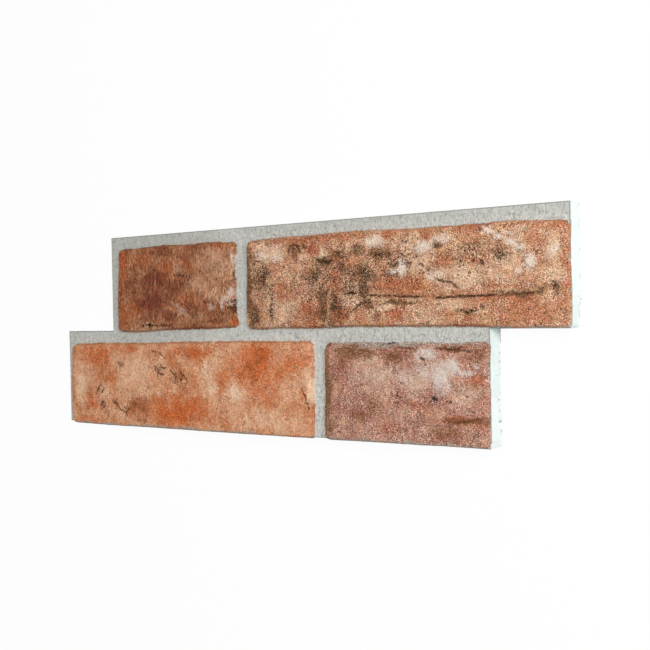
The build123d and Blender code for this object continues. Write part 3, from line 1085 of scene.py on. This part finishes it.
PALETTES = {
    "upper_header": Palette(
        dark=paint(150, 91, 61), light=paint(183, 127, 92), deep=paint(118, 59, 42),
        rust=paint(174, 92, 52), pale=paint(206, 160, 128), lime=paint(232, 210, 192),
        soot=paint(42, 28, 22), softness=0.7, speckle=1.5, pitting=0.35, highlight_fleck=0.3,
        wrinkle_shading=0.14, crease=2.8, tint=0.004, grit_and_shade=0.12, sand=0.38, grain=0.9, painted_glint=0.04,
        relief=1.2, roughness=0.75, specular=0.05, stretch=(1.0, 1.3), brush=(1.0, 3.0),
    ),
    "upper_stretcher": Palette(
        dark=paint(188, 117, 76), light=paint(225, 174, 134), deep=paint(106, 74, 46),
        rust=paint(190, 108, 69), pale=paint(244, 206, 174), lime=paint(254, 238, 222),
        soot=paint(60, 40, 26), softness=0.65, speckle=3.6, pitting=0.85, highlight_fleck=0.2,
        wrinkle_shading=0.3, crease=2.1, tint=0.008, grit_and_shade=0.14, sand=0.5, grain=0.72, painted_glint=0.5,
        relief=1.7, roughness=0.7, specular=0.06,
    ),
    "lower_stretcher": Palette(
        dark=paint(204, 129, 86), light=paint(230, 174, 137), deep=paint(158, 82, 44),
        rust=paint(208, 105, 52), pale=paint(242, 198, 162), lime=paint(250, 222, 192),
        soot=paint(84, 50, 32), softness=0.65, speckle=1.5, pitting=0.35, highlight_fleck=0.15,
        wrinkle_shading=0.15, crease=2.8, tint=0.003, grit_and_shade=0.1, sand=0.29, grain=0.85, painted_glint=0.05,
        relief=1.2, roughness=0.75, specular=0.05, stretch=(1.0, 1.2), brush=(1.0, 1.4),
    ),
    "lower_header": Palette(
        dark=paint(179, 113, 91), light=paint(217, 163, 134), deep=paint(132, 88, 50),
        rust=paint(190, 110, 76), pale=paint(228, 190, 164), lime=paint(240, 227, 218),
        soot=paint(54, 36, 28), softness=0.6, speckle=2.6, pitting=0.6, highlight_fleck=0.2,
        wrinkle_shading=0.32, crease=2.1, tint=0.006, grit_and_shade=0.14, sand=0.45, grain=0.72, painted_glint=0.56,
        relief=1.9, roughness=0.6, specular=0.09,
    ),
}

MORTAR_GREY = paint(204, 204, 197)
MORTAR_PALE = paint(218, 218, 212)
MORTAR_DARKENED = paint(158, 158, 150)
MORTAR_DARK = paint(104, 104, 98)
BARE_RIM = paint(176, 162, 148)
BARE_GREY = paint(218, 227, 225)
BARE_PALE = paint(226, 235, 233)
BARE_SPECK = paint(120, 124, 122)

# How densely each kind of mark covers what lies under it
TICK_DENSITY = 0.45
HOLE_DENSITY = 0.35
DARKENING_DENSITY = 0.6
EDGE_DENSITY = 0.55
RIM_DENSITY = 0.8
DIRT_DENSITY = 0.85
PIT_DENSITY = 0.3
SPECK_DENSITY = 0.8

# Each stain's density, its part of the noise, and the size of its grain, mm
WASHES = {
    "pale": (0.85, 11.0, 1.9),
    "rust": (0.9, 12.0, 1.9),
    "deep": (0.85, 13.0, 1.2),
    "lime": (0.76, 15.0, 1.0),
}

# How far the noises break up the edges of stains, lines and bricks
FRAY = 2.4
FINE_FRAY = 1.5
LIME_FRAY = 3.4
STROKE_FRAY = 3.0
BRICK_FRAY = 2.6

# Grains on the bricks, their wrinkles painted as shade and highlight, and painted shade along their rims
FOLD_WIDTH = 0.05
GRAIN_LIFT = 0.8
LIME_SAND = 0.3
EDGE_SHADE = 0.84


def mortar(recipe):
    """Pale grey sanded mortar with dark grit, short brushed ticks and darker outer edges."""
    recipe.colour = MORTAR_GREY
    sand = recipe.noise(4.0, 6.0, shift=3.0, roughness=0.75)
    recipe.cover(recipe.step(sand, 0.38, 0.62), MORTAR_PALE)
    tick = recipe.noise(0.95, 2.0, stretch=(1.0, 2.0), shift=7.0)
    recipe.cover(recipe.step(tick, 0.56, 0.66, end=TICK_DENSITY), MORTAR_DARK)
    recipe.shade(recipe.step(tick, 0.3, 0.6, 1.1, 0.94))
    recipe.cover(recipe.times("pit", HOLE_DENSITY), MORTAR_DARK)
    # Darker towards the upper left, the left end and along the top edge
    recipe.cover(recipe.times("darkening", DARKENING_DENSITY), MORTAR_DARKENED)
    recipe.cover(recipe.step("edge", 1.1, 0.3, end=EDGE_DENSITY), MORTAR_DARK)


def wash(recipe, palette, kind, fine_fray=FINE_FRAY):
    """One kind of stain, with frayed edges."""
    density, shift, grain_size = WASHES[kind]
    half = (1 + FRAY + fine_fray) / 2
    fray = recipe.noise(7.0, 8.0, palette.stretch, shift, roughness=0.72)
    grain = recipe.noise(grain_size, 2.0, palette.stretch, shift=2.0)
    stain = recipe.field(kind)
    cover = recipe.add(recipe.add(stain, fray, FRAY), grain, fine_fray)
    cover = recipe.step(cover, half - palette.softness, half + palette.softness, end=density)
    cover = recipe.times(cover, recipe.step(stain, 0.0, 0.4))
    recipe.cover(cover, getattr(palette, kind))


def stains(recipe, palette):
    """The washes of one brick, laid over each other on its ground colour, with painted shade along its
    rim.
    """
    cloud = recipe.noise(14.0, 8.0, palette.stretch, shift=1.0, roughness=0.7)
    recipe.cover(recipe.step(cloud, 0.36, 0.64), palette.light)
    wash(recipe, palette, "pale")
    wash(recipe, palette, "rust")
    wash(recipe, palette, "deep", palette.speckle)
    # Painted shade: each brick darker along its rim, where its rounded edge falls to the mortar
    recipe.shade(recipe.step("inset", 0.2, 2.2, EDGE_SHADE, 1.0))
    recipe.cover(recipe.step("bare", 0.3, 0.8, end=RIM_DENSITY), BARE_RIM)


def strokes(recipe, name, shift, ink):
    """Drawn lines with shaky edges."""
    shaky = recipe.add(name, recipe.noise(1.6, 3.0, shift=shift), STROKE_FRAY)
    recipe.cover(recipe.times(recipe.step(shaky, 1.95, 1.25), f"{name}_strength"), ink)


def fold(recipe, palette, shift):
    """Nought along thin winding lines, and rising to both sides of them."""
    cloud = recipe.noise(palette.crease, 2.0, palette.brush, shift)
    return recipe.math("ABSOLUTE", recipe.math("SUBTRACT", cloud, 0.5), 0.0)


def grains(recipe, palette):
    """Dark pores, pale flecks painted as highlights, and thin wrinkles painted as shaded valleys and lit
    ridges, thicker in some patches than in others.
    """
    patch = recipe.noise(9.0, 3.0, shift=20.0)
    pore = recipe.add(recipe.noise(1.3, 1.0, shift=21.0), patch, 0.6)
    pore = recipe.add(pore, "soot", 0.24)
    recipe.cover(recipe.step(pore, 0.99, 1.04, end=palette.pitting), palette.soot)
    patch = recipe.noise(9.0, 3.0, shift=22.0)
    highlight_fleck = recipe.add(recipe.noise(1.4, 1.0, shift=23.0), patch, 0.9)
    # Painted highlight: pale flecks lighten the colour
    recipe.shade(recipe.step(highlight_fleck, 1.05, 1.15, 1.0, 1 + palette.highlight_fleck))
    shaded_valley = fold(recipe, palette, shift=25.0)
    lit_ridge = fold(recipe, palette, shift=26.0)
    # Painted shade along thin wrinkle valleys and painted highlight along thin ridges
    recipe.shade(recipe.step(shaded_valley, 0.0, FOLD_WIDTH, 1 - palette.wrinkle_shading, 1.0))
    recipe.shade(recipe.step(lit_ridge, 0.0, FOLD_WIDTH, 1 + palette.wrinkle_shading, 1.0))


def sanding(recipe, palette, sand):
    """Dark and pale sand grains, strong in the sooty parts and weak in the pale ones, and pale grains
    painted as glints.
    """
    patch = recipe.step(recipe.noise(8.0, 3.0, shift=39.0), 0.36, 0.64, 0.65, 1.6)
    patch = recipe.times(patch, recipe.step("pale", 0.1, 0.8, 1.0, 0.55))
    patch = recipe.times(patch, recipe.step("soot", 0.2, 0.6, 0.95, 1.35))
    swing = recipe.step(sand, 0.3, 0.7, -palette.sand, GRAIN_LIFT * palette.sand)
    recipe.shade(recipe.add(1.0, swing, patch))
    # Painted highlight: pale grains laid on as glints, fewer on the deep and rust stains
    painted_glint = recipe.times(recipe.step(sand, 0.5, 0.72, end=palette.painted_glint), patch)
    painted_glint = recipe.times(painted_glint, recipe.step("deep", 0.1, 0.7, 1.0, 0.25))
    painted_glint = recipe.times(painted_glint, recipe.step("rust", 0.1, 0.7, 1.0, 0.5))
    recipe.cover(painted_glint, palette.lime)


def dirt(recipe, palette):
    """Dark specks, gathered in the sooty parts, and dark pits."""
    speck = recipe.add(recipe.noise(1.5, 2.0, shift=6.0), recipe.noise(4.2, 4.0, shift=4.0), 0.6)
    speck = recipe.add(speck, "soot", 0.27)
    recipe.cover(recipe.step(speck, 1.05, 1.1, end=DIRT_DENSITY), palette.soot)
    recipe.cover(recipe.times("pit", PIT_DENSITY), palette.soot)


def brick_paint(recipe, palette, grit_and_shade):
    """One brick's paint, from its washes to the dirt and the dark lines; the third argument is its fine
    relief, also painted as shade in its hollows and highlight on its crests.
    """
    stains(recipe, palette)
    grains(recipe, palette)
    cloud = recipe.noise(4.5, 4.0, shift=37.0)
    tint = recipe.step(cloud, 0.35, 0.65, 0.5 - palette.tint, 0.5 + palette.tint)
    # Painted shade and highlight: darker in the hollows of the fine relief, lighter on its crests, with a
    # small swing of hue
    recipe.shade(recipe.step(grit_and_shade, 0.34, 0.66, 1 - palette.grit_and_shade, 1 + palette.grit_and_shade), tint)
    sand = recipe.noise(palette.grain, 1.0, palette.brush, shift=35.0)
    sanding(recipe, palette, sand)
    wash(recipe, palette, "lime", LIME_FRAY)
    recipe.shade(recipe.step(sand, 0.3, 0.6, 1 - LIME_SAND * palette.sand, 1.0))
    strokes(recipe, "chalk", 29.0, palette.lime)
    dirt(recipe, palette)
    strokes(recipe, "line", 27.0, palette.soot)


def brick_and_mortar(name, palette):
    """One brick's paint with the mortar round it."""
    recipe = Recipe(name, palette.dark)
    grit_and_shade = recipe.noise(2.4, 6.0, palette.brush, shift=33.0, roughness=0.7)
    brick_paint(recipe, palette, grit_and_shade)
    brick = recipe.colour
    mortar(recipe)
    ragged = recipe.add("inset", recipe.noise(2.4, 4.0, shift=31.0), BRICK_FRAY)
    recipe.cover(recipe.step(ragged, 0.8, 1.6), brick)
    return recipe.finish(grit_and_shade, palette.relief, palette.roughness, palette.specular)


def bare_concrete():
    """Almost white concrete of the sides and the back, with grey specks, most of them near the back."""
    recipe = Recipe("bare_concrete", BARE_GREY)
    recipe.cover(recipe.step(recipe.noise(11.0, 4.0, shift=41.0), 0.35, 0.65), BARE_PALE)
    height = recipe.node("ShaderNodeSeparateXYZ", {0: recipe.place}).outputs["Z"]
    near_back = recipe.step(height, 7 * MM, 2 * MM, end=0.1)
    speck = recipe.math("ADD", recipe.noise(2.2, 3.0, shift=43.0), near_back)
    recipe.cover(recipe.step(speck, 0.68, 0.74, end=SPECK_DENSITY), BARE_SPECK)
    return recipe.finish(recipe.noise(1.2, 4.0, shift=45.0), depth=0.3, roughness=0.9, specular=0.1)


# Stage

WHITE = (1.0, 1.0, 1.0, 1.0)
ROOM_LIGHT = 0.44
LAMP_POWER = 10.2
LAMP_SIZE = 0.5
LAMP_PLACE = Vector((0.8, 0.3, 0.85))
FLOOR_HALF = 6.0
FLOOR_GAP = 0.2 * MM
FLOOR_COLOUR = (0.96, 0.96, 0.96, 1.0)
FLOOR_SEEN_WHITE = 0.94

# The camera that fits the corners of the stone in the photograph; its place is mm, its lens and sensor too
CAMERA_PLACE = Vector((452.7355, 14.41, 587.05))
CAMERA_FORWARD = Vector((-0.58276, -0.01473, -0.81251))
CAMERA_UP = Vector((0.00737, 0.99970, -0.02341))
CAMERA_LENS = 56.49
CAMERA_SENSOR = 36.0


def seen_white(tree):
    """One for rays from the camera and from glossy or clear things, which see a white background."""
    path = tree.nodes.new("ShaderNodeLightPath")
    seen = path.outputs["Is Camera Ray"]
    for ray in ("Is Glossy Ray", "Is Transmission Ray"):
        either = {0: seen, 1: path.outputs[ray]}
        seen = add_node(tree, "ShaderNodeMath", either, operation="MAXIMUM").outputs[0]
    return seen


def white_floor():
    """A wide white floor that stays white to the camera and keeps a soft shadow."""
    data = bpy.data.meshes.new("floor")
    corners = ((-1, -1), (1, -1), (1, 1), (-1, 1))
    level = cad_low.z - FLOOR_GAP
    data.from_pydata([(x * FLOOR_HALF, y * FLOOR_HALF, level) for x, y in corners], [], [(0, 1, 2, 3)])
    floor = bpy.data.objects.new("floor", data)
    bpy.context.collection.objects.link(floor)
    material = bpy.data.materials.new("floor_white")
    material.use_nodes = True
    tree = material.node_tree
    tree.nodes.clear()
    share = {0: seen_white(tree), 1: FLOOR_SEEN_WHITE}
    share = add_node(tree, "ShaderNodeMath", share, operation="MULTIPLY").outputs[0]
    diffuse = add_node(tree, "ShaderNodeBsdfDiffuse", {"Color": FLOOR_COLOUR}).outputs[0]
    glow = add_node(tree, "ShaderNodeEmission", {"Color": WHITE, "Strength": 1.0}).outputs[0]
    surface = add_node(tree, "ShaderNodeMixShader", {0: share, 1: diffuse, 2: glow}).outputs[0]
    add_node(tree, "ShaderNodeOutputMaterial", {"Surface": surface})
    data.materials.append(material)
    return floor


def studio_light():
    """A pale room all round, white to the camera, and one wide soft lamp on the right."""
    world = bpy.data.worlds.new("studio")
    bpy.context.scene.world = world
    world.use_nodes = True
    tree = world.node_tree
    backdrop = tree.nodes["Background"]
    backdrop.inputs["Color"].default_value = WHITE
    share = {0: seen_white(tree), 1: 1 - ROOM_LIGHT, 2: ROOM_LIGHT}
    strength = add_node(tree, "ShaderNodeMath", share, operation="MULTIPLY_ADD").outputs[0]
    tree.links.new(strength, backdrop.inputs["Strength"])
    lamp = bpy.data.lights.new("key", "AREA")
    lamp.shape = "DISK"
    lamp.size = LAMP_SIZE
    lamp.energy = LAMP_POWER
    key = bpy.data.objects.new("key", lamp)
    key.location = LAMP_PLACE
    key.rotation_euler = (-LAMP_PLACE).to_track_quat("-Z", "Y").to_euler()
    bpy.context.collection.objects.link(key)


def photo_camera():
    """The camera where the photograph was taken from."""
    right = CAMERA_FORWARD.cross(CAMERA_UP).normalized()
    up = right.cross(CAMERA_FORWARD).normalized()
    data = bpy.data.cameras.new("camera")
    data.sensor_width = CAMERA_SENSOR
    data.lens = CAMERA_LENS
    data.clip_start = 0.01
    data.clip_end = 50.0
    camera = bpy.data.objects.new("camera", data)
    turn = Matrix((right, up, -CAMERA_FORWARD)).transposed()
    camera.matrix_world = Matrix.Translation(CAMERA_PLACE * MM) @ turn.to_4x4()
    bpy.context.collection.objects.link(camera)
    bpy.context.scene.camera = camera


bpy.context.scene.view_settings.view_transform = "Standard"
stone_materials = [brick_and_mortar(f"stained_{brick.name}", PALETTES[brick.name]) for brick in BRICKS]
stone_materials.append(bare_concrete())
stone = facing_stone_surface(stone_materials)
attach(stone, "root")
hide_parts("facing_stone")
white_floor()
studio_light()
photo_camera()
